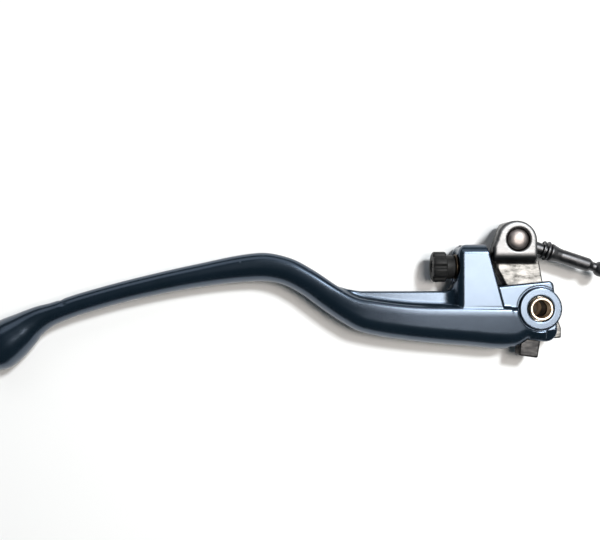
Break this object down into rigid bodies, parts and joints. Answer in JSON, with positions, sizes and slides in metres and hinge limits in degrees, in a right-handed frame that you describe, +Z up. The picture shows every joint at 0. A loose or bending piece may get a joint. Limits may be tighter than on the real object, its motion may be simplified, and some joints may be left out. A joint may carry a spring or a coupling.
{
  "type": "clutch lever",
  "caption": "Motorcycle clutch lever with S-bent blade and ball end, forked pivot, reach adjuster knob, pivoting steel cam and ball-ended pushrod.",
  "frame": {"origin": "middle of the object's footprint, on the surface it lies on; the pivot axis is the vertical line through x = 84.68 mm, y = -4.33 mm and the mid-plane is 7.8 mm up", "axes": "+X from the blade's ball end towards the pivot and pushrod, +Y towards the handlebar, +Z up along the pivot axis"},
  "size_m": [0.2206, 0.0518, 0.0156],
  "materials": {
    "anodised_lever": "satin blue-black anodised forging",
    "cast_steel": "cast and plated, polished on the eye's face",
    "black_steel": "glossy black oxide",
    "bright_steel": "ground steel",
    "bronze": "machined bearing bronze",
    "black_plastic": "matt black moulded"
  },
  "bodies": {
    "lever": {"lever_blade": "anodised_lever", "upper_pivot_bush": "bronze", "lower_pivot_bush": "bronze", "spindle_washer": "bronze", "guide_screw": "black_steel", "detent_ball": "bright_steel", "detent_spring": "bright_steel", "detent_screw": "black_steel"},
    "cam": {"cam_lever": "cast_steel", "cam_bush": "bronze", "upper_thrust_washer": "bright_steel", "lower_thrust_washer": "bright_steel"},
    "rod": {"cross_barrel": "bright_steel", "pushrod": "black_steel", "pushrod_washer": "black_steel", "pushrod_clip": "black_steel"},
    "knob": {"adjuster_knob": "black_plastic", "knob_screw": "bright_steel", "adjuster_spindle": "bright_steel"},
    "plunger": {"adjuster_plunger": "bright_steel", "plunger_tip": "bright_steel"}
  },
  "joints": [
    {"name": "knob_turn", "type": "hinge", "parent": "lever", "child": "knob", "pos_m": [0.05468, 0.01007, 0.0078], "axis": [-1, 0, 0], "range_deg": [0, 1080]},
    {"name": "plunger_travel", "type": "slide", "parent": "lever", "child": "plunger", "axis": [1, 0, 0], "range_m": [0, 0.0024]},
    {"name": "cam_pivot", "type": "hinge", "parent": "lever", "child": "cam", "pos_m": [0.08468, -0.00433, 0.0078], "axis": [0, 0, -1], "range_deg": [0, 10]},
    {"name": "pushrod_swing", "type": "hinge", "parent": "cam", "child": "rod", "pos_m": [0.07708, 0.01947, 0.0078], "axis": [0, 0, 1], "range_deg": [-8, 12]}
  ],
  "couplings": [
    {"joint": "plunger_travel", "follows": "knob_turn", "m_per_rad": 0.00012732},
    {"joint": "cam_pivot", "follows": "knob_turn", "ratio": 0.0092593}
  ]
}
